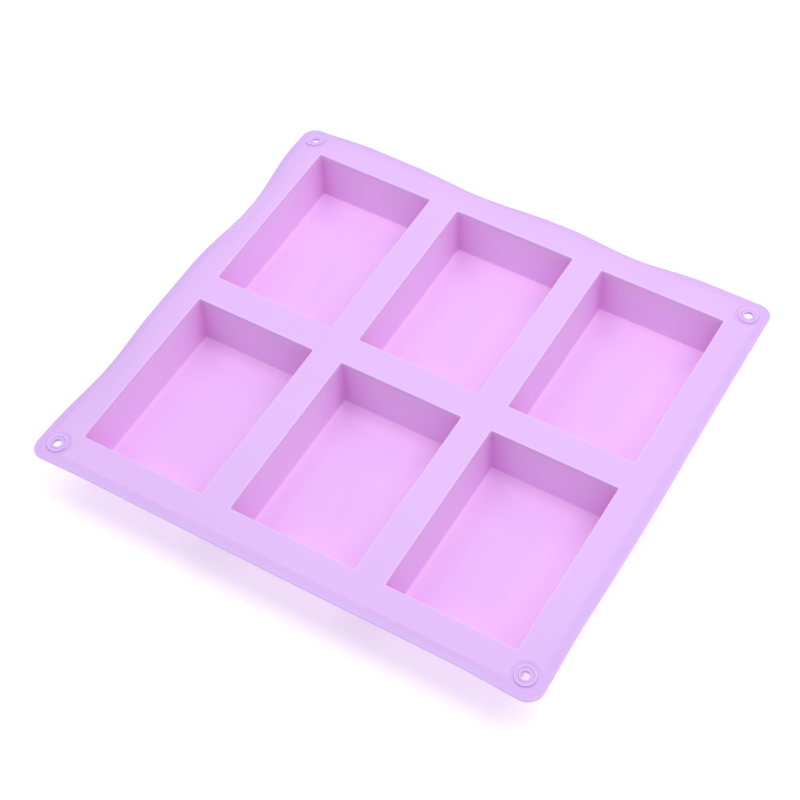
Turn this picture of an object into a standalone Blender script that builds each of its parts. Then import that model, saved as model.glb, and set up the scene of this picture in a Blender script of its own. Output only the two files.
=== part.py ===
"""A six-cavity silicone tray mould for bar soap, modelled as the named regions of its one moulding.

The part stands on the undersides of its cups. Its origin is the middle of that resting plane, +Z is up
through the openings, +X runs along the three columns and +Y along the length of each bar. Every region
is a closed solid of its own, and neighbouring regions keep the clearance GAP between their faces.
"""
import math

import bmesh
import bpy

# Bars and their layout
BAR_WIDTH = 0.0550          # opening of one cavity along X
BAR_LENGTH = 0.0800         # opening of one cavity along Y
CAVITY_DEPTH = 0.0232       # deck's top face down to the cavity floor
CAVITY_DRAFT = 0.0007       # how far each wall leans in from the opening to the floor
CAVITY_CORNER = 0.0007      # radius of the upright inner corners
COLUMN_NAMES = ("left", "middle", "right")
ROW_NAMES = ("front", "back")
COLUMN_GAP = 0.0133         # deck between two openings along X
ROW_GAP = 0.0135            # deck between two openings along Y

# Sheet thicknesses
FLOOR = 0.0018              # cavity floor
WALL = 0.0016               # cup wall
DECK = 0.0018               # deck and rim

# Border round the openings
END_BORDER = 0.0155         # outermost opening to the outer edge, along X
SIDE_BORDER = 0.0158        # outermost opening to the outer edge, along Y
FLAT_MARGIN = 0.0030        # border next to an opening that stays flat
LIP_WIDTH = 0.0024          # low lip along the outer edge
LIP_STEP = 0.0005           # how far the lip lies below the deck
SHOULDER = 0.0020           # width of the slope between deck and lip
RIM_DROOP = 0.0003          # how far the whole rim hangs below the flat deck

# Waves of the soft rim, each as its middle along the edge, its half length and its depth
BACK_WAVES = ((-0.030, 0.115, 0.0014), (-0.024, 0.034, 0.0017), (0.049, 0.033, 0.0026))
LEFT_WAVES = ((0.000, 0.110, 0.0021), (-0.054, 0.034, 0.0021), (0.052, 0.044, 0.0045))
FRONT_WAVES = ()
RIGHT_WAVES = ((-0.025, 0.080, 0.0012),)

# A corner that hangs: its tab's depth, and the depth and length of the droop along both its edges
HUNG_CORNER = (-1, 1)       # which corner, as its signs along X and Y
HUNG_TAB = 0.0015
HUNG_EDGE = 0.0030
HUNG_REACH = 0.0350

# Corners and their hanging eyelets
OUTER_CORNER = 0.0060       # radius of the tray's corners
TAB_MARGIN = 0.0012         # tab left between the ring and the deck or rim
TAB_LAP = 0.0007            # least length of a tab along the flat deck's corner
EYELET_INSET = 0.0082       # eyelet's axis from both outer edges
EYELET_OUTER = 0.0043       # radius of the raised ring
EYELET_HOLE = 0.0019        # radius of the hole
EYELET_RISE = 0.0007        # ring's crest above the lip
EYELET_DISH = 0.0005        # how far the ring's face sinks towards the hole

# Push-out floors
FLOOR_RING = 0.0120         # floor left round the part that a thumb pushes up
PUSH_CORNER = 0.0040        # corner radius of that part

GAP = 0.0003                # clearance between neighbouring regions

# Worked out from the sizes above
COLUMNS = len(COLUMN_NAMES)
ROWS = len(ROW_NAMES)
DECK_TOP = FLOOR + CAVITY_DEPTH
COLUMN_PITCH = BAR_WIDTH + COLUMN_GAP
ROW_PITCH = BAR_LENGTH + ROW_GAP
OPENINGS_X = 0.5 * ((COLUMNS - 1) * COLUMN_PITCH + BAR_WIDTH)
OPENINGS_Y = 0.5 * ((ROWS - 1) * ROW_PITCH + BAR_LENGTH)
FLAT_X = OPENINGS_X + FLAT_MARGIN
FLAT_Y = OPENINGS_Y + FLAT_MARGIN
HALF_X = OPENINGS_X + END_BORDER
HALF_Y = OPENINGS_Y + SIDE_BORDER
CORNER_TAB = EYELET_INSET + EYELET_OUTER + TAB_MARGIN
TAB_X = min(HALF_X - CORNER_TAB, FLAT_X - TAB_LAP)
TAB_Y = min(HALF_Y - CORNER_TAB, FLAT_Y - TAB_LAP)
LIP_TOP = DECK_TOP - RIM_DROOP - LIP_STEP

# Fineness of the faceted solids
STATION = 0.0070            # length of a rim facet along an edge
RIM_FACETS = 6              # facets across the rim
CORNER_FACETS = 4
TAB_FACETS = 8
RING_FACETS = 32
CUT_REACH = 0.0100          # how far a cutter runs past what it cuts
WELD = 0.00001              # points closer than this are joined

# Colours of the moulding's regions, linear RGB
SATIN = 0.5                 # roughness of the moulded surface
DECK_COLOUR = (0.78, 0.54, 0.97)
RIM_COLOUR = (0.72, 0.51, 0.94)
CUP_COLOUR = (0.68, 0.36, 0.80)
FLOOR_COLOUR = (0.84, 0.53, 0.96)


def clear_scene():
    """Remove every object that the scene starts with."""
    for item in list(bpy.data.objects):
        bpy.data.objects.remove(item, do_unlink=True)


def new_collection(name):
    """A collection of that name under the scene's own."""
    group = bpy.data.collections.new(name)
    bpy.context.scene.collection.children.link(group)
    return group


def silicone(name, colour):
    """Soft satin silicone rubber in one colour."""
    material = bpy.data.materials.new(name)
    material.use_nodes = True
    shader = material.node_tree.nodes["Principled BSDF"]
    shader.inputs["Base Color"].default_value = (*colour, 1.0)
    shader.inputs["Roughness"].default_value = SATIN
    shader.inputs["Metallic"].default_value = 0.0
    return material


def add_object(name, shape, group, colour=None):
    """Turn a bmesh into a named object with its own material."""
    mesh = bpy.data.meshes.new(name)
    shape.to_mesh(mesh)
    shape.free()
    item = bpy.data.objects.new(name, mesh)
    group.objects.link(item)
    if colour:
        mesh.materials.append(silicone(name + "_silicone", colour))
    return item


def smooth(item, degrees=30.0):
    """Shade round faces smooth and keep the crisp edges."""
    item.data.shade_smooth()
    item.data.set_sharp_from_angle(angle=math.radians(degrees))


def block(low, high):
    """A box between two corners, as a bmesh."""
    shape = bmesh.new()
    bmesh.ops.create_cube(shape, size=1.0)
    for vert in shape.verts:
        for axis in range(3):
            middle = 0.5 * (low[axis] + high[axis])
            vert.co[axis] = middle + vert.co[axis] * (high[axis] - low[axis])
    return shape


def upright_edges(shape):
    """The edges of a bmesh that run from its bottom to its top."""
    return [edge for edge in shape.edges
            if abs(edge.verts[0].co.z - edge.verts[1].co.z) > 0.5 * edge.calc_length()]


def tapered_block(half_x, half_y, low_z, high_z, lean, corner):
    """A box about the Z axis whose sides lean in by lean at its bottom, with rounded upright edges."""
    shape = block((-half_x, -half_y, low_z), (half_x, half_y, high_z))
    for vert in shape.verts:
        if vert.co.z < 0.5 * (low_z + high_z):
            vert.co.x -= math.copysign(lean, vert.co.x)
            vert.co.y -= math.copysign(lean, vert.co.y)
    bmesh.ops.bevel(shape, geom=upright_edges(shape), offset=corner, segments=CORNER_FACETS,
                    profile=0.5, affect='EDGES')
    return shape


def cut(item, cutter):
    """Take a cutter's shape out of an object."""
    step = item.modifiers.new("cut_" + cutter.name, 'BOOLEAN')
    step.operation = 'DIFFERENCE'
    step.solver = 'EXACT'
    step.object = cutter


def make_cutter(name, shape, group, place):
    """An object that only cuts, drawn as wire and left out of renders."""
    cutter = add_object(name, shape, group)
    cutter.location = place
    cutter.hide_render = True
    cutter.display_type = 'WIRE'
    return cutter


def cavity_places():
    """Each cavity's name and the middle of its opening on the resting plane."""
    places = []
    for row in range(ROWS):
        for column in range(COLUMNS):
            x = (column - 0.5 * (COLUMNS - 1)) * COLUMN_PITCH
            y = (row - 0.5 * (ROWS - 1)) * ROW_PITCH
            places.append((ROW_NAMES[row] + "_" + COLUMN_NAMES[column], (x, y, 0.0)))
    return places


def lean_at(height):
    """How far a cavity wall leans in at a height above the resting plane."""
    return CAVITY_DRAFT * (DECK_TOP - height) / CAVITY_DEPTH


def cavity_cutter(name, place, group):
    """The space of one bar, carried straight on above the deck by the same lean."""
    top = DECK_TOP + CUT_REACH
    spread = lean_at(top)
    shape = tapered_block(0.5 * BAR_WIDTH - spread, 0.5 * BAR_LENGTH - spread, FLOOR, top,
                          lean_at(FLOOR) - spread, CAVITY_CORNER)
    return make_cutter("space_" + name, shape, group, place)


def push_half_sizes():
    """Half width and half length of the hole that a push-out floor moves through."""
    floor_lean = lean_at(FLOOR)
    return (0.5 * BAR_WIDTH - floor_lean - FLOOR_RING, 0.5 * BAR_LENGTH - floor_lean - FLOOR_RING)


def push_cutter(name, place, group):
    """The hole in a cup's floor that its push-out part moves through."""
    half_x, half_y = push_half_sizes()
    shape = tapered_block(half_x, half_y, -CUT_REACH, FLOOR + CUT_REACH, 0.0, PUSH_CORNER)
    return make_cutter("push_hole_" + name, shape, group, place)


def make_cup(name, place, space, hole, group):
    """The walls of one cavity and the ring of floor that joins them at the bottom."""
    top = DECK_TOP - DECK - GAP
    lean = lean_at(top)
    shape = tapered_block(0.5 * BAR_WIDTH + WALL - lean, 0.5 * BAR_LENGTH + WALL - lean, 0.0, top,
                          lean_at(0.0) - lean, CAVITY_CORNER + WALL)
    cup = add_object("cup_" + name, shape, group, CUP_COLOUR)
    cup.location = place
    cut(cup, space)
    cut(cup, hole)
    return cup


def make_push_floor(name, place, group):
    """The middle of a cavity floor, which is pushed up to free the bar, on its own axis empty."""
    half_x, half_y = push_half_sizes()
    shape = tapered_block(half_x - GAP, half_y - GAP, 0.0, FLOOR, 0.0, PUSH_CORNER - GAP)
    floor = add_object("floor_" + name, shape, group, FLOOR_COLOUR)
    axis = bpy.data.objects.new("push_axis_" + name, None)
    axis.location = place
    group.objects.link(axis)
    floor.parent = axis
    return axis


def make_deck(spaces, cutters, group):
    """The flat lattice round the openings, notched where the corner tabs begin."""
    shape = block((-FLAT_X, -FLAT_Y, DECK_TOP - DECK), (FLAT_X, FLAT_Y, DECK_TOP))
    deck = add_object("deck_web", shape, group, DECK_COLOUR)
    for space in spaces:
        cut(deck, space)
    for x in (-1, 1):
        for y in (-1, 1):
            tab_x, tab_y = HALF_X - TAB_X, HALF_Y - TAB_Y
            notch = block((-tab_x, -tab_y, -CUT_REACH), (tab_x, tab_y, CUT_REACH))
            place = (x * HALF_X, y * HALF_Y, DECK_TOP)
            cut(deck, make_cutter(f"notch_{x}_{y}", notch, cutters, place))
    return deck


def wave_depth(along, waves):
    """How far the rim's waves hang at a place along an edge: a squared cosine for each wave."""
    depth = 0.0
    for middle, half_length, height in waves:
        part = min(1.0, abs(along - middle) / half_length)
        depth += height * math.cos(0.5 * math.pi * part) ** 2
    return depth


def corner_depth(along, half_length, sign, along_x):
    """How far the hung corner lowers an edge at a place along it: a squared cosine from the corner."""
    end, side = HUNG_CORNER if along_x else HUNG_CORNER[::-1]
    if side != sign:
        return 0.0
    part = min(1.0, (half_length - end * along) / HUNG_REACH)
    return HUNG_EDGE * math.cos(0.5 * math.pi * part) ** 2


def ease(value):
    """0 up to 0, 1 from 1, and a smooth S between."""
    value = min(1.0, max(0.0, value))
    return value * value * (3.0 - 2.0 * value)


def rim_point(out, width, depth):
    """Reach and height of the rim's top at a distance out along the sheet, hanging by depth.

    The sheet bends down as a quarter cosine, pulls in so that its length stays, and steps to the lip.
    """
    part = out / width
    pull = width - math.sqrt(width * width - depth * depth)
    step = LIP_STEP * ease((out - width + LIP_WIDTH + SHOULDER) / SHOULDER)
    return out - pull * part, DECK_TOP - depth * (1.0 - math.cos(0.5 * math.pi * part)) - step


def make_rim(name, along_x, sign, waves, group):
    """One drooping side of the rim, from the flat deck to the outer edge, as a sheet with thickness."""
    half_length = TAB_X if along_x else TAB_Y
    start = (FLAT_Y if along_x else FLAT_X) + GAP
    width = (HALF_Y if along_x else HALF_X) - start
    stations = round(2.0 * half_length / STATION)
    shape = bmesh.new()
    bmesh.ops.create_grid(shape, x_segments=stations, y_segments=RIM_FACETS, size=1.0)
    for vert in shape.verts:
        along = vert.co.x * half_length
        out = 0.5 * (vert.co.y + 1.0) * width
        corner = corner_depth(along, HALF_X if along_x else HALF_Y, sign, along_x)
        reach, height = rim_point(out, width, RIM_DROOP + wave_depth(along, waves) + corner)
        across = sign * (start + reach)
        vert.co = (along, across, height) if along_x else (across, along, height)
    shape.normal_update()
    if sum(face.normal.z for face in shape.faces) < 0.0:
        bmesh.ops.reverse_faces(shape, faces=shape.faces)
    rim = add_object("rim_" + name, shape, group, RIM_COLOUR)
    thickness = rim.modifiers.new("thickness", 'SOLIDIFY')
    thickness.thickness = DECK
    thickness.offset = -1.0
    smooth(rim)
    return rim


def make_tab(name, x, y, cutters, group):
    """A corner of the low lip with its outer corner rounded, bored for the eyelet's ring."""
    top = tab_top(x, y)
    low = (x * (TAB_X + GAP), y * (TAB_Y + GAP), top - DECK)
    high = (x * HALF_X, y * HALF_Y, top)
    shape = block([min(a, b) for a, b in zip(low, high)], [max(a, b) for a, b in zip(low, high)])
    outer = [edge for edge in upright_edges(shape)
             if edge.verts[0].co.x * x > TAB_X + 2.0 * GAP and edge.verts[0].co.y * y > TAB_Y + 2.0 * GAP]
    bmesh.ops.bevel(shape, geom=outer, offset=OUTER_CORNER, segments=TAB_FACETS, profile=0.5,
                    affect='EDGES')
    tab = add_object("corner_" + name, shape, group, RIM_COLOUR)
    drill = bmesh.new()
    bmesh.ops.create_cone(drill, cap_ends=True, segments=RING_FACETS, radius1=EYELET_OUTER + GAP,
                          radius2=EYELET_OUTER + GAP, depth=2.0 * CUT_REACH)
    cut(tab, make_cutter("bore_" + name, drill, cutters, eyelet_place(x, y)))
    return tab


def tab_top(x, y):
    """Height of a corner tab's top face."""
    return LIP_TOP - (HUNG_TAB if (x, y) == HUNG_CORNER else 0.0)


def eyelet_place(x, y):
    """The axis of a corner's eyelet, at its tab's top face."""
    return (x * (HALF_X - EYELET_INSET), y * (HALF_Y - EYELET_INSET), tab_top(x, y))


def make_eyelet(name, x, y, group):
    """The ring round a hanging hole, turned: a rounded crest whose face dishes in to the hole."""
    crest = 0.5 * EYELET_RISE
    profile = (
        (EYELET_OUTER, crest),
        (EYELET_OUTER, -DECK),
        (EYELET_HOLE, -DECK),
        (EYELET_HOLE, EYELET_RISE - EYELET_DISH),
        (EYELET_OUTER - 2.0 * crest, EYELET_RISE),
        (EYELET_OUTER - crest, EYELET_RISE),
        (EYELET_OUTER, crest),
    )
    shape = bmesh.new()
    verts = [shape.verts.new((radius, 0.0, height)) for radius, height in profile[:-1]]
    for index, vert in enumerate(verts):
        shape.edges.new((vert, verts[(index + 1) % len(verts)]))
    ring = add_object("eyelet_" + name, shape, group, RIM_COLOUR)
    turn = ring.modifiers.new("turn", 'SCREW')
    turn.angle = math.tau
    turn.steps = RING_FACETS
    turn.render_steps = RING_FACETS
    turn.use_merge_vertices = True
    turn.merge_threshold = WELD
    turn.use_smooth_shade = True
    ring.location = eyelet_place(x, y)
    return ring


def build():
    """Make every region of the moulding and hang them all on one empty."""
    clear_scene()
    regions = new_collection("soap_tray_mould")
    cutters = new_collection("cutters")
    made = []
    spaces = []
    for name, place in cavity_places():
        space = cavity_cutter(name, place, cutters)
        hole = push_cutter(name, place, cutters)
        spaces.append(space)
        made.append(make_cup(name, place, space, hole, regions))
        made.append(make_push_floor(name, place, regions))
    made.append(make_deck(spaces, cutters, regions))
    made.append(make_rim("back", True, 1.0, BACK_WAVES, regions))
    made.append(make_rim("front", True, -1.0, FRONT_WAVES, regions))
    made.append(make_rim("left", False, -1.0, LEFT_WAVES, regions))
    made.append(make_rim("right", False, 1.0, RIGHT_WAVES, regions))
    for y, row in ((-1, "front"), (1, "back")):
        for x, column in ((-1, "left"), (1, "right")):
            made.append(make_tab(row + "_" + column, x, y, cutters, regions))
            made.append(make_eyelet(row + "_" + column, x, y, regions))
    frame = bpy.data.objects.new("mould_origin", None)
    regions.objects.link(frame)
    for item in made:
        item.parent = frame


build()
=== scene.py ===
"""Looks of a six-cavity silicone soap tray mould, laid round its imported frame.

The moulding is drawn region by region. Neighbouring regions share their border curves, so the skin is
continuous. +Z is up through the openings, +X runs along the three columns and +Y towards the back row.
"""

import math

import bpy
import numpy as np
from mathutils import Matrix, Vector


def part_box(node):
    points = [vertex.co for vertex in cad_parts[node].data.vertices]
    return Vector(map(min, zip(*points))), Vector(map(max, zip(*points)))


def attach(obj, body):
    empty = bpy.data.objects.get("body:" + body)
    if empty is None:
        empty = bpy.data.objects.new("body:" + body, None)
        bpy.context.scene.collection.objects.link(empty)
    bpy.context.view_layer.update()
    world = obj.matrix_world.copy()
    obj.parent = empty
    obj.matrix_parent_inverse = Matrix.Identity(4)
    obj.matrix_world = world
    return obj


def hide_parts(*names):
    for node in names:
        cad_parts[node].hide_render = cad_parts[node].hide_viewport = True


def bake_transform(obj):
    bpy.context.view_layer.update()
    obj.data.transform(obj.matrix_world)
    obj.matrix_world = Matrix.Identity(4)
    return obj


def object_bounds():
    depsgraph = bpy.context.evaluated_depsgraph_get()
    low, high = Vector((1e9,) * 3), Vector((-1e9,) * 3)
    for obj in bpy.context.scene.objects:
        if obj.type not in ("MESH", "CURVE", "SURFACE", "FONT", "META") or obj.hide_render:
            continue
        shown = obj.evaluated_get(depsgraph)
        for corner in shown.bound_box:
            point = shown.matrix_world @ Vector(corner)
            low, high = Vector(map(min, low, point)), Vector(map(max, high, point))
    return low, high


bl_info = {
    "name": "Soap tray mould",
    "version": (1, 0, 0),
    "blender": (4, 5, 0),
    "location": "3D View > Sidebar > Soap tray",
    "description": "Builds a soft silicone tray mould with six bar cavities",
    "category": "Add Mesh",
}

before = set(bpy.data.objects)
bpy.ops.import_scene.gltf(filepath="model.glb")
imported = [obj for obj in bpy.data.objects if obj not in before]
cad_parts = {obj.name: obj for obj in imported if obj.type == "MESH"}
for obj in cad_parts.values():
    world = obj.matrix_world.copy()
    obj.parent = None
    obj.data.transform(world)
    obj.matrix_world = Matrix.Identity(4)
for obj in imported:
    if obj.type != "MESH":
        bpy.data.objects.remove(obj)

TRAY = "tray"

# Read from the frame
CAD_LOW, CAD_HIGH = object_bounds()
DECK_LOW, DECK_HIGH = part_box("deck_web")
DECK_TOP = DECK_HIGH.z
SHEET = DECK_HIGH.z - DECK_LOW.z
HALF = np.array((CAD_HIGH.x, CAD_HIGH.y))       # outer edge
FLAT = np.array((DECK_HIGH.x, DECK_HIGH.y))     # where the flat deck ends and the rim begins
CAVITIES = sorted(name[4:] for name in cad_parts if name.startswith("cup_"))
CORNERS = sorted(name[7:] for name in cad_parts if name.startswith("eyelet_"))
SIDES = sorted(name[4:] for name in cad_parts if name.startswith("rim_"))


def middle_of(node):
    """The middle of a node's box, as x and y."""
    low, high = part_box(node)
    return np.array(((low.x + high.x) / 2, (low.y + high.y) / 2))


def half_of(node):
    """Half the width and half the length of a node's box."""
    low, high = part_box(node)
    return np.array(((high.x - low.x) / 2, (high.y - low.y) / 2))


def opening_of(name):
    """Half the width and half the length of a cavity's opening, from its cup's box and its walls' lean."""
    sizes = bpy.context.scene.mould_cavity
    cup_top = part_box("cup_" + name)[1].z
    floor_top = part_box("floor_" + name)[1].z
    lean = sizes.draft * (DECK_TOP - cup_top) / (DECK_TOP - floor_top)
    return half_of("cup_" + name) - sizes.wall + lean


class MouldCavitySizes(bpy.types.PropertyGroup):
    """Sizes of one cavity's walls and edges."""
    wall: bpy.props.FloatProperty(
        name="Wall", description="Thickness of a cup's wall", default=0.0016, unit='LENGTH')
    draft: bpy.props.FloatProperty(
        name="Draft", description="Lean of each wall from the opening to the floor",
        default=0.0007, unit='LENGTH')
    corner: bpy.props.FloatProperty(
        name="Upright corner", description="Radius of the upright inner corners",
        default=0.0005, unit='LENGTH')
    edge: bpy.props.FloatProperty(
        name="Opening edge", description="Radius of the edge between deck and wall",
        default=0.00022, unit='LENGTH')
    fillet: bpy.props.FloatProperty(
        name="Floor fillet", description="Radius between wall and floor", default=0.0004,
        unit='LENGTH')
    base_fillet: bpy.props.FloatProperty(
        name="Base fillet", description="Radius round the cup's underside", default=0.0014,
        unit='LENGTH')
    root_fillet: bpy.props.FloatProperty(
        name="Root fillet", description="Radius between the cup's outside and the deck's underside",
        default=0.0009, unit='LENGTH')
    collar: bpy.props.FloatProperty(
        name="Collar", description="Deck round an opening that belongs to its cup",
        default=0.0006, unit='LENGTH')
    margin: bpy.props.FloatProperty(
        name="Floor margin", description="Floor next to the walls that belongs to the cup",
        default=0.0030, unit='LENGTH')


class MouldRimSizes(bpy.types.PropertyGroup):
    """Sizes of the soft rim and its corners."""
    lip: bpy.props.FloatProperty(
        name="Lip", description="Width of the low lip along the outer edge", default=0.0022,
        unit='LENGTH')
    step: bpy.props.FloatProperty(
        name="Step", description="Drop from the deck to the lip", default=0.0004, unit='LENGTH')
    shoulder: bpy.props.FloatProperty(
        name="Shoulder", description="Width of the slope between deck and lip", default=0.0026,
        unit='LENGTH')
    thinning: bpy.props.FloatProperty(
        name="Thinning", description="How much thinner the lip is than the deck", default=0.0007,
        unit='LENGTH')
    bead: bpy.props.FloatProperty(
        name="Bead", description="Radius of the outer edge", default=0.0005, unit='LENGTH')
    droop: bpy.props.FloatProperty(
        name="Droop", description="How far the whole rim hangs", default=0.0003, unit='LENGTH')
    corner: bpy.props.FloatProperty(
        name="Corner", description="Radius of the tray's corners", default=0.0060, unit='LENGTH')
    cut_back: bpy.props.FloatProperty(
        name="Cut back", description="Radius round an eyelet's axis where the raised deck begins",
        default=0.0062, unit='LENGTH')
    cut_slope: bpy.props.FloatProperty(
        name="Cut slope", description="Width of the slope round an eyelet", default=0.0016,
        unit='LENGTH')
    tab: bpy.props.FloatVectorProperty(
        name="Tab", description="Width and length of a corner region", size=2,
        default=(0.0150, 0.0150), unit='LENGTH')


class MouldEyeletSizes(bpy.types.PropertyGroup):
    """Sizes of the ring round a hanging hole."""
    seat: bpy.props.FloatProperty(
        name="Seat", description="Radius where the ring's foot meets the lip", default=0.0043,
        unit='LENGTH')
    hole: bpy.props.FloatProperty(
        name="Hole", description="Radius of the hanging hole", default=0.0017, unit='LENGTH')
    rise: bpy.props.FloatProperty(
        name="Rise", description="Crest above the lip", default=0.0007, unit='LENGTH')
    dish: bpy.props.FloatProperty(
        name="Dish", description="Depth of the groove between crest and hole", default=0.0004,
        unit='LENGTH')
    fillet: bpy.props.FloatProperty(
        name="Fillet", description="Radius at the ring's foot", default=0.0002, unit='LENGTH')
    crest: bpy.props.FloatProperty(
        name="Crest", description="Radius of the outer crest", default=0.00035, unit='LENGTH')
    bead: bpy.props.FloatProperty(
        name="Bead", description="Radius of the bead round the hole", default=0.00028,
        unit='LENGTH')
    bead_rise: bpy.props.FloatProperty(
        name="Bead rise", description="Height of the bead as a share of the crest's", default=0.85)
    under: bpy.props.FloatProperty(
        name="Under edge", description="Radius of the hole's lower edge", default=0.0003,
        unit='LENGTH')


class MouldColours(bpy.types.PropertyGroup):
    """Colours of the one silicone, with painted light and shade: the walls are painted lighter and pinker
    than the deck for light that passes through the silicone and bounces in the cups, the corner colour is
    painted shade at the walls' upright corners, the foot colour painted light on the floors next to the
    walls, and the edge colour painted highlights on thin edges.
    """
    deck: bpy.props.FloatVectorProperty(
        name="Deck", description="Colour of the flat deck", size=3, subtype='COLOR',
        default=(0.715, 0.46, 0.88))
    lip: bpy.props.FloatVectorProperty(
        name="Lip", description="Colour of the thin lip and corners", size=3, subtype='COLOR',
        default=(0.66, 0.435, 0.87))
    # Painted light: the walls are lighter and pinker than the deck, for light through the silicone and
    # bounced in the cups.
    wall: bpy.props.FloatVectorProperty(
        name="Wall", description="Colour of the cups' walls", size=3, subtype='COLOR',
        default=(0.895, 0.60, 0.95))
    # Painted shade: the walls are darker next to their upright corners.
    corner: bpy.props.FloatVectorProperty(
        name="Upright corner", description="Colour of the walls next to their upright corners",
        size=3, subtype='COLOR', default=(0.80, 0.415, 0.80))
    floor: bpy.props.FloatVectorProperty(
        name="Floor", description="Colour of the cups' floors", size=3, subtype='COLOR',
        default=(0.755, 0.46, 0.875))
    # Painted light: the floors are lighter next to the walls.
    foot: bpy.props.FloatVectorProperty(
        name="Foot", description="Colour of the floors next to the walls", size=3, subtype='COLOR',
        default=(0.97, 0.61, 0.99))
    # Painted highlight: the thin edges and the eyelets' crests are lighter.
    edge: bpy.props.FloatVectorProperty(
        name="Edge", description="Colour of the thin edges, which let more light through",
        size=3, subtype='COLOR', default=(0.86, 0.62, 0.97))


SHARPEST = 0.0004   # smallest radius of a cup's upright corners, inside or out
SHARP_ANGLE = 40    # degrees between two faces from which their edge isn't shaded smooth
TOUCH = 1e-6        # points closer than this lie on the same line

# Fineness of the drawn surfaces
ARC = 8             # steps round an upright corner, an even number
RUN = 18            # steps along a straight side of a cavity
TURN = 6            # steps round a small edge or fillet
RISE = 10           # steps up a wall
ACROSS = 40         # steps across the rim
ALONG = 0.0016      # length of a step along the rim
SPOKES = 18         # steps out from an eyelet to the tab's border
SIDE_STEPS = 14     # steps along one side of a corner tab
FOLD = 10           # steps across the bending ring of a floor
ROUND = 72          # steps round an eyelet

# Named values of every point that the silicone's colour follows
LAYERS = ("zone", "lip", "corner_shade", "edge", "foot")

# Painted highlight strength along the tray's outer edge.
RIM_HIGHLIGHT = 0.5        # edge value of the tray's outer edge, where an opening's edge has 1
# BLUSH: depth below the deck over which a wall takes on its painted lighter, pinker colour.
BLUSH = 0.0006              # depth in which a wall takes on the cup's colour
# SHADE: distance over which the painted shade at a wall's upright corner fades.
SHADE = 0.0070              # distance from an upright corner in which the wall's deeper colour fades
# GLOW: distance from a wall over which the floor's painted light fades.
GLOW = 0.0090               # distance from a wall in which the floor's lighter colour fades

# Waves of the soft rim, each as its middle along the edge, its half length and its depth
WAVES = {
    "back": ((-0.030, 0.115, 0.0014), (-0.024, 0.034, 0.0017), (0.049, 0.033, 0.0026)),
    "left": ((0.000, 0.110, 0.0021), (-0.054, 0.034, 0.0021), (0.052, 0.044, 0.0045)),
    "front": (),
    "right": ((-0.025, 0.080, 0.0012),),
}
# How far the soft rim spreads outwards, or inwards where it is negative, in the same form
FLARES = {
    "back": (),
    "left": ((-0.052, 0.060, -0.0005), (0.066, 0.026, -0.0005)),
    "front": ((HALF[0], 0.036, 0.0012), (-HALF[0], 0.026, 0.0006), (0.000, 0.100, 0.0003)),
    "right": ((-HALF[1], 0.040, 0.0010), (-0.020, 0.085, 0.0007)),
}
HUNG_CORNER = (-1, 1)       # the corner that hangs, as its signs along X and Y
HUNG_DEPTH = 0.0030
HUNG_REACH = 0.0350         # length of its droop along both edges
GROOVE_SHIFT = 0.0001       # how far an eyelet's groove lies inwards of the middle of its slopes


def put_mesh(name, points, closed, layers, material):
    """A closed mesh from rings of points.

    points has the shape (rings, points in a ring, 3). Each ring is joined to the next and closes on
    itself; the last ring is joined to the first if closed, else both ends are capped. The rings are
    turned round if the signed volume, a third of the sum of each face's middle times its normal, is
    negative. layers are named values for every point.
    """
    rings, count = points.shape[:2]
    ring = np.arange(rings if closed else rings - 1)[:, None]
    step = np.arange(count)[None, :]
    ahead = (ring + 1) % rings
    beside = (step + 1) % count
    quads = np.stack((ring * count + step, ring * count + beside, ahead * count + beside,
                      ahead * count + step), axis=-1).reshape(-1, 4)
    flat = points.reshape(-1, 3)
    a, b, c, d = (flat[quads[:, k]] for k in range(4))
    volume = np.einsum('ij,ij->', (a + b + c + d) / 4, np.cross(c - a, d - b)) / 6
    faces = quads.tolist()
    if not closed:
        faces.append(list(range(count))[::-1])
        faces.append(list(range((rings - 1) * count, rings * count)))
        for cap in faces[-2:]:
            ends = flat[cap]
            area = np.cross(ends, np.roll(ends, -1, axis=0)).sum(axis=0) / 2
            volume += ends.mean(axis=0) @ area / 3
    if volume < 0:
        faces = [face[::-1] for face in faces]
    mesh = bpy.data.meshes.new(name)
    mesh.from_pydata(flat, [], faces)
    for label in LAYERS:
        layer = mesh.attributes.new(label, 'FLOAT', 'POINT')
        values = layers.get(label, np.zeros(points.shape[:2]))
        layer.data.foreach_set("value", np.ascontiguousarray(values, np.float32).ravel())
    mesh.shade_smooth()
    mesh.set_sharp_from_angle(angle=math.radians(SHARP_ANGLE))
    return show(name, mesh, material)


def show(name, mesh, material):
    """Put a mesh with its material in the scene."""
    mesh.materials.append(material)
    piece = bpy.data.objects.new(name, mesh)
    bpy.context.scene.collection.objects.link(piece)
    return piece


def belongs(piece, body, *nodes):
    """Let a piece move with a body and stand for its CAD nodes."""
    if body:
        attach(piece, body)
    if nodes:
        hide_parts(*nodes)


def ease(value):
    """0 up to 0, 1 from 1, and the cubic S 3t^2 - 2t^3 between."""
    value = np.clip(value, 0.0, 1.0)
    return value * value * (3.0 - 2.0 * value)


def quarter(start, end, steps=TURN):
    """Angles of an arc without its first, in radians, from degrees."""
    return np.radians(np.linspace(start, end, steps + 1)[1:])


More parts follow.
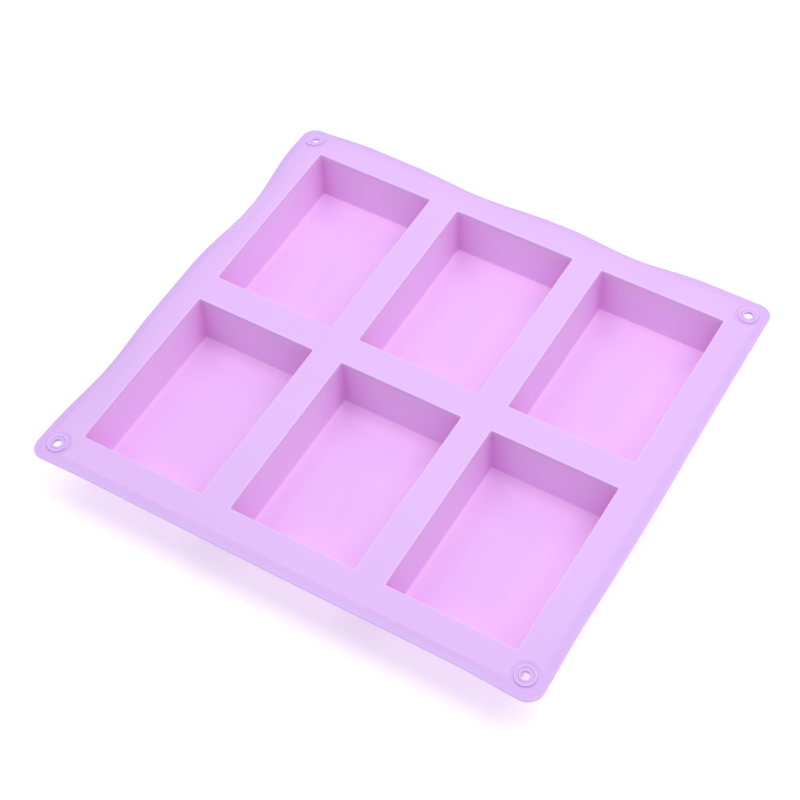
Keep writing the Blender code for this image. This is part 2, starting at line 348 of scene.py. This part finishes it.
def rounded_loops(half, radius, square):
    """Rounded rectangles with matching points, one for each row of half sizes, radii and squareness.

    A corner is its centre plus radius times (cos a, sin a). Squareness 1 divides that by the larger of
    cos a and sin a, which makes it a sharp corner with the same number of points. Straight sides are
    even steps between the corners.
    """
    angle = np.radians(90) * (np.arange(4)[:, None] + np.linspace(0, 1, ARC + 1)[None, :])
    turn = np.stack((np.cos(angle), np.sin(angle)), axis=-1)
    reach = np.abs(turn).max(axis=-1, keepdims=True)
    signs = np.array(((1, 1), (-1, 1), (-1, -1), (1, -1)))
    half, radius, square = (np.asarray(v, float) for v in (half, radius, square))
    centre = signs[None] * (half - radius[:, None])[:, None, :]
    shape = turn[None] / (1 + square[:, None, None, None] * (reach[None] - 1))
    arcs = centre[:, :, None, :] + radius[:, None, None, None] * shape
    share = (np.arange(1, RUN) / RUN)[None, None, :, None]
    runs = arcs[:, :, -1:, :] * (1 - share) + np.roll(arcs[:, :, :1, :], -1, axis=1) * share
    return np.concatenate((arcs, runs), axis=2).reshape(len(half), -1, 2)


def cup_profile(sizes, floor_top):
    """One cup's closed section: inset from the opening's outline, height and squareness of each loop.

    From the collar on the deck it rounds the opening's edge, leans down the wall, rounds into the
    floor and stops at the floor's margin. It returns along the underside, rounds the base, climbs the
    outside of the wall and flares into the deck's underside.
    """
    depth = DECK_TOP - floor_top
    under = DECK_TOP - SHEET

    def lean(height):
        return sizes.draft * (DECK_TOP - height) / depth

    turn = quarter(0, 90)
    parts = [((-sizes.collar, DECK_TOP, 1.0), (-sizes.edge, DECK_TOP, 0.0))]
    parts.append([(-sizes.edge + sizes.edge * math.sin(a), DECK_TOP - sizes.edge * (1 - math.cos(a)),
                   0.0) for a in turn])
    wall = np.linspace(DECK_TOP - sizes.edge, floor_top + sizes.fillet, RISE + 1)[1:]
    parts.append([(lean(z), z, 0.0) for z in wall])
    foot = lean(floor_top)
    parts.append([(foot + sizes.fillet * (1 - math.cos(a)), floor_top + sizes.fillet * (1 - math.sin(a)),
                   0.0) for a in turn])
    parts.append(((foot + sizes.margin, floor_top, 1.0), (foot + sizes.margin, 0.0, 1.0)))
    outer = foot - sizes.wall
    parts.append([(outer + sizes.base_fillet * (1 - math.sin(a)),
                   sizes.base_fillet * (1 - math.cos(a)), 0.0) for a in np.append(0.0, turn)])
    climb = np.linspace(sizes.base_fillet, under - sizes.root_fillet, 5)[1:]
    parts.append([(lean(z) - sizes.wall, z, 0.0) for z in climb])
    root = -sizes.wall
    parts.append([(root - sizes.root_fillet * (1 - math.cos(a)),
                   under - sizes.root_fillet * (1 - math.sin(a)), 0.0) for a in turn])
    parts.append(((-sizes.collar, under, 1.0),))
    return np.array([row for part in parts for row in part])


def make_cup(name, material):
    """A cavity's walls, edge and floor margin as one closed skin: its section, carried round.

    A wall point's corner shade, a painted shade, falls off as e to the minus distance from the nearest
    upright corner, and a floor point's foot value, a painted light, as e to the minus distance from the
    wall. The opening's edge carries a painted highlight.
    """
    sizes = bpy.context.scene.mould_cavity
    middle = middle_of("cup_" + name)
    opening = opening_of(name)
    inset, height, square = cup_profile(sizes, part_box("floor_" + name)[1].z).T
    past = np.where(inset > sizes.draft, inset - sizes.draft, np.minimum(inset, 0.0))
    radius = np.clip(sizes.corner - past, SHARPEST, None)
    half = opening[None] - inset[:, None]
    loops = rounded_loops(half, radius, square)
    points = np.dstack((loops + middle, np.broadcast_to(height[:, None], loops.shape[:2])))
    on_floor = ease((inset - sizes.draft) / sizes.fillet)
    on_wall = ease((DECK_TOP - height) / BLUSH)
    # Painted highlight along the opening's edge.
    painted_highlight = np.where((inset > -sizes.collar) & (height > DECK_TOP - 2 * sizes.edge), 1.0, 0.0)
    from_corner = (half[:, None, :] - np.abs(loops)).max(axis=-1)
    # Painted shade, darker towards the walls' upright corners.
    corner_shade = np.exp(-from_corner / SHADE) * (on_wall * (1 - on_floor) * (inset >= 0))[:, None]
    # Painted light, lighter towards the walls.
    foot = on_floor * np.exp(np.minimum(sizes.draft - inset, 0.0) / GLOW)
    layers = {"corner_shade": corner_shade}
    for label, values in (("zone", on_wall + on_floor), ("edge", painted_highlight), ("foot", foot)):
        layers[label] = np.broadcast_to(values[:, None], loops.shape[:2])
    piece = put_mesh("cup_skin_" + name, points, True, layers, material)
    belongs(piece, TRAY, "cup_" + name)


def rim_surface(x, y):
    """The rim's top over flat coordinates: moved x and y, height, sheet thickness and lip share.

    Beyond the flat deck the sheet hangs by 1 - cos of a quarter turn, by the droop all round and by
    each side's waves. A wave pulls the sheet in by what a straight hang of that depth would, and a
    flare spreads it by its own size times the squared share of the way out. One corner hangs lower, by
    an S of the way out times a squared cosine along both its edges. The step down to the lip is 1 less
    the product of what three slopes leave: one along each outer edge and one round the eyelet.
    """
    sizes = bpy.context.scene.mould_rim
    flat = np.stack((x, y), axis=-1)
    sign = np.where(flat < 0, -1.0, 1.0)
    out = np.abs(flat)
    width = HALF - FLAT
    part = np.clip((out - FLAT) / width, 0.0, 1.0)

    def hang(share):
        return 1.0 - np.cos(0.5 * np.pi * share)

    waves = side_waves(WAVES, x, y)
    around = 1.0 - (1.0 - part[..., 0]) * (1.0 - part[..., 1])
    sag = sizes.droop * hang(around) + (waves * hang(part)).sum(axis=-1)
    corner = np.clip((HALF - np.array(HUNG_CORNER) * flat) / HUNG_REACH, 0.0, 1.0)
    sag = sag + HUNG_DEPTH * np.prod(np.cos(0.5 * np.pi * corner) ** 2, axis=-1) * ease(around)
    pull = (width - np.sqrt(width ** 2 - waves ** 2)) * part
    edge = 1.0 - ease((sizes.lip + sizes.shoulder - (HALF - out)) / sizes.shoulder)
    eyelet = np.abs(middle_of("eyelet_" + CORNERS[0]))
    radius = np.linalg.norm(out - eyelet, axis=-1)
    ring = 1.0 - ease((sizes.cut_back - radius) / sizes.cut_slope)
    low = 1.0 - edge[..., 0] * edge[..., 1] * ring
    spread = side_waves(FLARES, x, y) * part ** 2
    moved = flat - sign * (pull - spread)
    height = DECK_TOP - sag - sizes.step * low
    return moved[..., 0], moved[..., 1], height, SHEET - sizes.thinning * low, low


def side_waves(table, x, y):
    """What the waves of the left or right side and of the front or back side come to at flat places."""
    left_right = np.where(x < 0, wave_depth(y, table["left"]), wave_depth(y, table["right"]))
    front_back = np.where(y < 0, wave_depth(x, table["front"]), wave_depth(x, table["back"]))
    return np.stack((left_right, front_back), axis=-1)


def wave_depth(along, waves):
    """Depth of one side's waves at places along it: a squared cosine for each wave."""
    depth = np.zeros_like(along)
    for middle, half_length, height in waves:
        part = np.clip(np.abs(along - middle) / half_length, 0.0, 1.0)
        depth = depth + height * np.cos(0.5 * np.pi * part) ** 2
    return depth


def sheet_section(bead, steps):
    """Section of a sheet with a rounded outer edge, as share of the way out, inset, drop and thickness.

    The top runs out, a quarter circle turns down, another turns back under, and the underside returns.
    A point lies below the top by drop times the bead's radius plus its share of the thickness.
    """
    top = np.linspace(0, 1, steps + 1)
    turn = quarter(0, 90)
    ones = np.ones_like
    share = np.concatenate((top, ones(turn), [1.0], ones(turn), top[::-1][1:]))
    inset = np.concatenate((ones(top), 1 - np.sin(turn), [0.0], 1 - np.cos(turn), ones(top[1:]))) * bead
    drop = np.concatenate((0 * top, 1 - np.cos(turn), [-1.0], np.sin(turn) - 1, 0 * top[1:])) * bead
    thick = np.concatenate((0 * top, 0 * turn, [1.0], ones(turn), ones(top[1:])))
    return share, inset, drop, thick


def tab_start():
    """Where the corner regions begin, as x and y."""
    return HALF - np.array(bpy.context.scene.mould_rim.tab)


def drape(flat_x, flat_y, drop, thick):
    """Points of a sheet from flat coordinates, with the rim's shape, and their named values."""
    x, y, height, thickness, low = rim_surface(flat_x, flat_y)
    points = np.stack((x, y, height - drop - thick * thickness), axis=-1)
    return points, {"lip": low}


def make_rim(side, material):
    """One side of the rim: the sheet's section carried along the edge and draped over the rim's surface."""
    sizes = bpy.context.scene.mould_rim
    along_x = side in ("front", "back")
    across = 1 if along_x else 0
    sign = 1.0 if side in ("back", "right") else -1.0
    half_length = tab_start()[1 - across]
    stations = np.linspace(-half_length, half_length, round(2 * half_length / ALONG) + 1)[:, None]
    share, inset, drop, thick = sheet_section(sizes.bead, ACROSS)
    reach = HALF[across] - sizes.bead - FLAT[across]
    out = FLAT[across] + reach * share + np.where(share < 1, 0.0, sizes.bead - inset)
    run = np.broadcast_to(stations, (len(stations), len(share)))
    way = np.broadcast_to(sign * out[None], run.shape)
    flat_x, flat_y = (run, way) if along_x else (way, run)
    points, layers = drape(flat_x, flat_y, drop[None], thick[None])
    # Painted highlight along the rim's outer edge.
    layers["edge"] = np.broadcast_to(np.where(share < 1, 0.0, RIM_HIGHLIGHT)[None], run.shape)
    piece = put_mesh("rim_skin_" + side, points, False, layers, material)
    belongs(piece, TRAY, "rim_" + side)


def tab_border(sizes):
    """A corner region's border in the first quadrant: two inner sides, two outer sides and an arc."""
    low, high = tab_start(), HALF
    radius = sizes.corner
    even = np.arange(SIDE_STEPS) / SIDE_STEPS
    arc = np.radians(90) * np.arange(2 * SIDE_STEPS) / (2 * SIDE_STEPS)
    lines = (
        ((low[0], low[1]), (high[0], low[1])),
        ((high[0], low[1]), (high[0], high[1] - radius)),
        ((high[0] - radius, high[1]), (low[0], high[1])),
        ((low[0], high[1]), (low[0], low[1])),
    )
    runs = [np.outer(1 - even, start) + np.outer(even, end) for start, end in lines]
    bend = high - radius + radius * np.stack((np.cos(arc), np.sin(arc)), axis=-1)
    return np.concatenate((runs[0], runs[1], bend, runs[2], runs[3]))


def make_corner(name, material):
    """A corner tab: loops that spread from the eyelet's seat to the border, draped and rounded at the lip.

    A loop at inset d is the border shrunk about the region's inner corner by 1 - d / side, so its inner
    sides stay where the neighbouring regions end.
    """
    sizes = bpy.context.scene.mould_rim
    seat = bpy.context.scene.mould_eyelet.seat
    centre = middle_of("eyelet_" + name)
    sign = np.sign(centre)
    start = tab_start()
    side = HALF - start
    border = tab_border(sizes)
    away = border - np.abs(centre)
    circle = np.abs(centre) + seat * away / np.linalg.norm(away, axis=-1, keepdims=True)
    share, inset, drop, thick = sheet_section(sizes.bead, SPOKES)
    shrunk = start + (border - start)[None] * (1 - inset[:, None] / side)[:, None, :]
    loops = circle[None] * (1 - share)[:, None, None] + shrunk * share[:, None, None]
    loops = loops * sign
    points, layers = drape(loops[..., 0], loops[..., 1], drop[:, None], thick[:, None])
    outer = (border > HALF - TOUCH).any(axis=-1) | (np.abs(border - start).min(axis=-1) > TOUCH)
    # Painted highlight along the tab's outer edge.
    layers["edge"] = np.where(share < 1, 0.0, RIM_HIGHLIGHT)[:, None] * outer[None]
    piece = put_mesh("corner_skin_" + name, points, True, layers, material)
    belongs(piece, TRAY, "corner_" + name)


def eyelet_section(sizes, thickness):
    """The ring's closed section: radius, height above the lip and painted highlight of each point.

    A fillet climbs from the seat to a half-round outer crest. A cubic S sinks from it into a groove and
    another climbs to a lower half-round bead round the hole. The hole runs straight down to a rounded
    underside.
    """
    hole, crest, bead, under = sizes.hole, sizes.crest, sizes.bead, sizes.under
    wall = sizes.seat - sizes.fillet
    top, low = sizes.rise, sizes.bead_rise * sizes.rise
    foot = [(sizes.seat - sizes.fillet * math.sin(a), sizes.fillet * (1 - math.cos(a)), 0.0)
            for a in quarter(0, 90)]
    # The third value is a painted highlight on the tops of the crest and the bead.
    outer = [(wall - crest * (1 - math.cos(a)), top - crest * (1 - math.sin(a)), math.sin(a) ** 2)
             for a in quarter(0, 120, 12)]
    inner = [(hole + bead * (1 + math.cos(a)), low - bead * (1 - math.sin(a)), math.sin(a) ** 2)
             for a in np.radians(np.linspace(60, 180, 11))]
    start, end = outer[-1][:2], inner[0][:2]
    deepest = (start[0] + end[0]) / 2 - GROOVE_SHIFT, top - sizes.dish
    groove = [(near[0] + (far[0] - near[0]) * t, near[1] + (far[1] - near[1]) * ease(t), 0.0)
              for near, far in ((start, deepest), (deepest, end)) for t in np.linspace(0, 1, 6)[1:]]
    bore = [(hole, -0.4 * thickness, 0.0), (hole, under - thickness, 0.0)]
    edge = [(hole + under * (1 - math.cos(a)), -thickness + under * (1 - math.sin(a)), 0.0)
            for a in quarter(0, 90)]
    return np.array([(sizes.seat, 0.0, 0.0), *foot, *outer, *groove, *inner[1:], *bore, *edge,
                     (sizes.seat, -thickness, 0.0)])


def make_eyelet(name, material):
    """The ring round a hanging hole: its section turned about the hole's axis and set on the lip."""
    sizes = bpy.context.scene.mould_eyelet
    rim = bpy.context.scene.mould_rim
    centre = middle_of("eyelet_" + name)
    thickness = SHEET - rim.thinning
    radius, height, painted_highlight = eyelet_section(sizes, thickness).T
    angle = np.linspace(0, 2 * np.pi, ROUND + 1)[:-1, None]
    flat_x = centre[0] + radius[None] * np.cos(angle)
    flat_y = centre[1] + radius[None] * np.sin(angle)
    points, layers = drape(flat_x, flat_y, -height[None], np.zeros_like(height)[None])
    # Painted highlight on the ring's crest and bead.
    layers["edge"] = np.broadcast_to(painted_highlight[None], flat_x.shape)
    piece = put_mesh("eyelet_ring_" + name, points, True, layers, material)
    belongs(piece, TRAY, "eyelet_" + name)


def make_deck(material):
    """The flat lattice: the cells between the lines of the collars, the tabs and the flat edge."""
    middles = np.array([middle_of("cup_" + name) for name in CAVITIES])
    opening = opening_of(CAVITIES[0]) + bpy.context.scene.mould_cavity.collar
    tab = tab_start()
    lines = []
    for axis in range(2):
        edges = np.concatenate((middles[:, axis] - opening[axis], middles[:, axis] + opening[axis],
                                (-FLAT[axis], FLAT[axis], -tab[axis], tab[axis])))
        edges.sort()
        lines.append(edges[np.append(True, np.diff(edges) > TOUCH)])
    x, y = np.meshgrid(lines[0], lines[1], indexing='ij')
    points = np.stack((x, y, np.full_like(x, DECK_TOP)), axis=-1).reshape(-1, 3)
    cell_x = (lines[0][:-1] + lines[0][1:])[:, None] / 2
    cell_y = (lines[1][:-1] + lines[1][1:])[None, :] / 2
    keep = ~((np.abs(cell_x) > tab[0]) & (np.abs(cell_y) > tab[1]))
    for middle in middles:
        keep &= ~((np.abs(cell_x - middle[0]) < opening[0]) & (np.abs(cell_y - middle[1]) < opening[1]))
    column, row = np.nonzero(keep)
    count = len(lines[1])
    first = column * count + row
    faces = np.stack((first, first + count, first + count + 1, first + 1), axis=-1)
    used = np.unique(faces)
    mesh = bpy.data.meshes.new("deck_skin")
    mesh.from_pydata(points[used], [], np.searchsorted(used, faces).tolist())
    for label in LAYERS:
        mesh.attributes.new(label, 'FLOAT', 'POINT')
    piece = show("deck_skin", mesh, material)
    thickness = piece.modifiers.new("thickness", 'SOLIDIFY')
    thickness.thickness = SHEET
    thickness.offset = -1.0
    belongs(piece, TRAY, "deck_web")


def plate(name, corners, steps, low, high, middle, half, material):
    """A flat plate over four corners: even steps between them, its section a closed rectangle.

    Its foot value, painted light that brightens the floor next to the walls, falls off as e to the minus
    distance from the walls round the middle.
    """
    corners = np.asarray(corners, float)
    share = np.linspace(0, 1, steps + 1)[:, None, None]
    start = corners[0] * (1 - share) + corners[1] * share
    end = corners[3] * (1 - share) + corners[2] * share
    across = np.linspace(0, 1, steps + 1)[None, :, None]
    top = start * (1 - across) + end * across
    points = np.concatenate((np.dstack((top, np.full(top.shape[:2], high))),
                             np.dstack((top[:, ::-1], np.full(top.shape[:2], low)))), axis=1)
    from_wall = (half - np.abs(points[..., :2] - middle)).min(axis=-1)
    layers = {"zone": np.full(points.shape[:2], 2.0), "foot": np.exp(-from_wall / GLOW)}
    return put_mesh(name, points, False, layers, material)


def make_floor(name, material):
    """A cavity's floor: the plate that a thumb pushes up, and four flat plates round it where the real
    floor bends.
    """
    sizes = bpy.context.scene.mould_cavity
    low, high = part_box("floor_" + name)
    middle = middle_of("floor_" + name)
    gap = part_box("deck_web")[0].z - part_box("cup_" + name)[1].z
    inner = half_of("floor_" + name) + gap
    walls = opening_of(name) - sizes.draft
    outer = walls - sizes.margin
    signs = np.array(((-1, -1), (1, -1), (1, 1), (-1, 1)))
    outer_corners = middle + signs * outer
    inner_corners = middle + signs * inner
    body = "push_" + name
    pad = plate("floor_pad_" + name, inner_corners, FOLD, low.z, high.z, middle, walls, material)
    belongs(pad, body, "floor_" + name)
    for index, side in enumerate(("front", "right", "back", "left")):
        after = (index + 1) % 4
        corners = (outer_corners[index], outer_corners[after], inner_corners[after], inner_corners[index])
        fold = plate(f"floor_fold_{name}_{side}", corners, FOLD, low.z, high.z, middle, walls, material)
        start = (corners[0] + corners[1]) / 2
        end = (corners[2] + corners[3]) / 2
        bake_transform(fold)
        belongs(fold, None)


class Socket:
    """A shader value that Python's operators work on."""

    def __init__(self, tree, socket):
        self.tree = tree
        self.socket = socket

    def _math(self, operation, *values):
        return self.tree.node('ShaderNodeMath', {"operation": operation}, *values)

    def __add__(self, other):
        return self._math('ADD', self, other)

    __radd__ = __add__

    def __mul__(self, other):
        return self._math('MULTIPLY', self, other)

    __rmul__ = __mul__

    def __sub__(self, other):
        return self._math('SUBTRACT', self, other)


class Shader:
    """A material's node tree, with one method that adds any node."""

    def __init__(self, name):
        self.material = bpy.data.materials.new(name)
        self.material.use_nodes = True
        self.nodes = self.material.node_tree.nodes
        self.links = self.material.node_tree.links
        self.surface = self.nodes["Principled BSDF"]

    def node(self, kind, settings=None, *values, output=0, **named):
        """Add a node of a kind, make its settings, fill its sockets and return one of its outputs."""
        made = self.nodes.new(kind)
        for key, value in (settings or {}).items():
            setattr(made, key, value)
        for place, value in list(enumerate(values)) + list(named.items()):
            self.fill(made.inputs[place], value)
        return Socket(self, made.outputs[output])

    def fill(self, socket, value):
        """Link a shader value to a socket, or set a constant on it."""
        if isinstance(value, Socket):
            self.links.new(value.socket, socket)
        else:
            socket.default_value = value

    def mix(self, share, first, second, blend='MIX'):
        """Mix two colours."""
        mixer = self.nodes.new('ShaderNodeMix')
        mixer.data_type = 'RGBA'
        mixer.blend_type = blend
        self.fill(mixer.inputs[0], share)
        self.fill(mixer.inputs[6], first)
        self.fill(mixer.inputs[7], second)
        return Socket(self, mixer.outputs[2])


# Noises of the silicone, in waves for each metre, and how much they change it
CLOUD_SCALE = 28.0
RIPPLE_SCALE = 55.0
GRAIN_SCALE = 2600.0
CLOUDING = 0.06             # share of the colour that the clouds take
SATIN = 0.40                # roughness where the clouds are thinnest
SATIN_CLOUDING = 0.14       # how much rougher it is where they are thickest
RIPPLE_DEPTH = 0.00035
GRAIN_DEPTH = 0.00002
# Share of the painted highlight colour on a thin edge.
HIGHLIGHT_SHARE = 0.6            # how far a bright edge takes on the edge colour


def silicone():
    """Satin moulded silicone: lilac on the deck, bluer on the lip, pinker in the cups, with soft clouds.
    The walls are painted lighter, painted shade darkens them at their upright corners, painted light
    brightens the floors next to the walls and painted highlights lighten the thin edges.
    """
    colours = bpy.context.scene.mould_colours
    shader = Shader("lilac_silicone_skin")
    place = shader.node('ShaderNodeTexCoord', output="Object")
    zone, lip, corner_shade, edge, foot = (
        shader.node('ShaderNodeAttribute', {"attribute_name": name}, output="Fac") for name in LAYERS)
    cloud = shader.node('ShaderNodeTexNoise', None, Vector=place, Scale=CLOUD_SCALE, Detail=3.0,
                        Roughness=0.5)
    grain = shader.node('ShaderNodeTexNoise', None, Vector=place, Scale=GRAIN_SCALE, Detail=2.0,
                        Roughness=0.6)
    soft = shader.node('ShaderNodeTexNoise', None, Vector=place, Scale=RIPPLE_SCALE, Detail=1.0,
                       Roughness=0.4)
    # Painted light: the cups' walls take a lighter, pinker colour than the deck.
    colour = shader.mix(zone, (*colours.deck, 1), (*colours.wall, 1))
    # Painted shade at the walls' upright corners.
    colour = shader.mix(corner_shade, colour, (*colours.corner, 1))
    # Painted light on the floors next to the walls.
    floor = shader.mix(foot, (*colours.floor, 1), (*colours.foot, 1))
    colour = shader.mix(zone - 1.0, colour, floor)
    colour = shader.mix(lip, colour, (*colours.lip, 1))
    # Painted highlights on the thin edges.
    colour = shader.mix(HIGHLIGHT_SHARE * edge, colour, (*colours.edge, 1))
    shade = (1.0 - CLOUDING / 2) + CLOUDING * cloud
    colour = shader.mix(1.0, colour, shader.node('ShaderNodeCombineColor', None, shade, shade, shade),
                        blend='MULTIPLY')
    shader.fill(shader.surface.inputs["Base Color"], colour)
    shader.fill(shader.surface.inputs["Roughness"], SATIN + SATIN_CLOUDING * cloud)
    ripple = shader.node('ShaderNodeBump', None, Strength=0.35, Distance=RIPPLE_DEPTH, Height=soft)
    fine = shader.node('ShaderNodeBump', None, Strength=0.25, Distance=GRAIN_DEPTH, Height=grain,
                       Normal=ripple)
    shader.fill(shader.surface.inputs["Normal"], fine)
    shader.surface.inputs["Specular IOR Level"].default_value = 0.4
    return shader.material


def shared_silicone():
    """The one silicone material, made on first use."""
    return bpy.data.materials.get("lilac_silicone_skin") or silicone()


class MOULD_OT_deck(bpy.types.Operator):
    """Make the flat lattice round the openings"""
    bl_idname = "mould.deck"
    bl_label = "Deck"

    def execute(self, context):
        make_deck(shared_silicone())
        return {'FINISHED'}


class MOULD_OT_rims(bpy.types.Operator):
    """Make the four drooping sides of the rim"""
    bl_idname = "mould.rims"
    bl_label = "Rim"

    def execute(self, context):
        for side in SIDES:
            make_rim(side, shared_silicone())
        return {'FINISHED'}


class MOULD_OT_corners(bpy.types.Operator):
    """Make the four corner tabs"""
    bl_idname = "mould.corners"
    bl_label = "Corner tabs"

    def execute(self, context):
        for name in CORNERS:
            make_corner(name, shared_silicone())
        return {'FINISHED'}


class MOULD_OT_eyelets(bpy.types.Operator):
    """Make the rings round the four hanging holes"""
    bl_idname = "mould.eyelets"
    bl_label = "Eyelets"

    def execute(self, context):
        for name in CORNERS:
            make_eyelet(name, shared_silicone())
        return {'FINISHED'}


class MOULD_OT_cups(bpy.types.Operator):
    """Make the walls of the six cavities"""
    bl_idname = "mould.cups"
    bl_label = "Cups"

    def execute(self, context):
        for name in CAVITIES:
            make_cup(name, shared_silicone())
        return {'FINISHED'}


class MOULD_OT_floors(bpy.types.Operator):
    """Make the six floors with the plates that push the bars out"""
    bl_idname = "mould.floors"
    bl_label = "Push-out floors"

    def execute(self, context):
        for name in CAVITIES:
            make_floor(name, shared_silicone())
        return {'FINISHED'}


CAMERA_TARGET = Vector((0.00248, -0.01133, 0.0250))
CAMERA_AZIMUTH = 32.97      # degrees, 0 looks along +Y
CAMERA_ELEVATION = 52.90
CAMERA_ROLL = -2.925
CAMERA_DISTANCE = 0.7574
CAMERA_LENS = 86.9          # millimetres on a 36 mm sensor

# The soft boxes, each with its place and its power in watts
LIGHTS = {
    "right": ((0.45, 0.05, 0.89), 2.50),
    "left": ((-0.50, 0.00, 0.87), 1.70),
    "near": ((0.00, 0.17, 0.45), 0.68),
}
LIGHT_SIZE = 0.45
WORLD_STRENGTH = 0.54
FLOOR_SIZE = 6.0
FLOOR_GAP = 0.0002          # the floor lies this far under the tray
FLOOR_GLOW = 0.30           # light that comes through the floor


def add_camera():
    """The camera on its orbit round the target, rolled about its own axis."""
    data = bpy.data.cameras.new("camera")
    data.lens = CAMERA_LENS
    data.sensor_width = 36.0
    data.clip_start = 0.01
    camera = bpy.data.objects.new("camera", data)
    bpy.context.scene.collection.objects.link(camera)
    azimuth, elevation = math.radians(CAMERA_AZIMUTH), math.radians(CAMERA_ELEVATION)
    back = Vector((math.sin(azimuth) * math.cos(elevation), -math.cos(azimuth) * math.cos(elevation),
                   math.sin(elevation)))
    turn = back.to_track_quat('Z', 'Y').to_matrix().to_4x4()
    roll = Matrix.Rotation(math.radians(CAMERA_ROLL), 4, 'Z')
    camera.matrix_world = Matrix.Translation(CAMERA_TARGET + back * CAMERA_DISTANCE) @ turn @ roll
    bpy.context.scene.camera = camera


def add_light(name, place, power):
    """A square soft box at a place, facing the tray."""
    data = bpy.data.lights.new(name, 'AREA')
    data.shape = 'SQUARE'
    data.size = LIGHT_SIZE
    data.energy = power
    light = bpy.data.objects.new(name, data)
    bpy.context.scene.collection.objects.link(light)
    light.location = place
    light.rotation_euler = Vector(place).to_track_quat('Z', 'Y').to_euler()


def add_floor():
    """A wide pale floor with a plain matt finish, lit a little from below like a light table."""
    material = bpy.data.materials.new("pale_floor")
    material.use_nodes = True
    surface = material.node_tree.nodes["Principled BSDF"]
    surface.inputs["Base Color"].default_value = (0.95, 0.95, 0.95, 1)
    surface.inputs["Emission Color"].default_value = (1, 1, 1, 1)
    surface.inputs["Emission Strength"].default_value = FLOOR_GLOW
    surface.inputs["Roughness"].default_value = 0.9
    surface.inputs["Specular IOR Level"].default_value = 0.0
    half = FLOOR_SIZE / 2
    mesh = bpy.data.meshes.new("floor")
    mesh.from_pydata([(-half, -half, 0), (half, -half, 0), (half, half, 0), (-half, half, 0)], [],
                     [(0, 1, 2, 3)])
    floor = show("floor", mesh, material)
    floor.location.z = -FLOOR_GAP


class MOULD_OT_stage(bpy.types.Operator):
    """Make the pale floor, the soft light and the camera"""
    bl_idname = "mould.stage"
    bl_label = "Stage"

    def execute(self, context):
        add_camera()
        add_floor()
        for name, (place, power) in LIGHTS.items():
            add_light(name, place, power)
        world = bpy.data.worlds.new("studio")
        context.scene.world = world
        world.use_nodes = True
        background = world.node_tree.nodes["Background"]
        background.inputs["Color"].default_value = (1, 1, 1, 1)
        background.inputs["Strength"].default_value = WORLD_STRENGTH
        context.scene.view_settings.view_transform = 'Standard'
        return {'FINISHED'}


class MOULD_PT_panel(bpy.types.Panel):
    """Sizes, colours and steps of the soap tray mould"""
    bl_label = "Soap tray mould"
    bl_space_type = 'VIEW_3D'
    bl_region_type = 'UI'
    bl_category = "Soap tray"

    def draw(self, context):
        layout = self.layout
        for group in GROUPS:
            box = layout.box()
            settings = getattr(context.scene, group)
            for name in settings.bl_rna.properties.keys():
                if name not in ("rna_type", "name"):
                    box.prop(settings, name)
        for operator in STEPS:
            layout.operator(operator.bl_idname)


GROUPS = {
    "mould_cavity": MouldCavitySizes,
    "mould_rim": MouldRimSizes,
    "mould_eyelet": MouldEyeletSizes,
    "mould_colours": MouldColours,
}
STEPS = (MOULD_OT_stage, MOULD_OT_deck, MOULD_OT_rims, MOULD_OT_corners, MOULD_OT_eyelets,
         MOULD_OT_cups, MOULD_OT_floors)
CLASSES = (*GROUPS.values(), *STEPS, MOULD_PT_panel)


def register():
    for item in CLASSES:
        bpy.utils.register_class(item)
    for name, group in GROUPS.items():
        setattr(bpy.types.Scene, name, bpy.props.PointerProperty(type=group))


def unregister():
    for name in GROUPS:
        delattr(bpy.types.Scene, name)
    for item in reversed(CLASSES):
        bpy.utils.unregister_class(item)


def main():
    register()
    for step in STEPS:
        group, name = step.bl_idname.split(".")
        getattr(getattr(bpy.ops, group), name)()


if __name__ == "__main__":
    main()
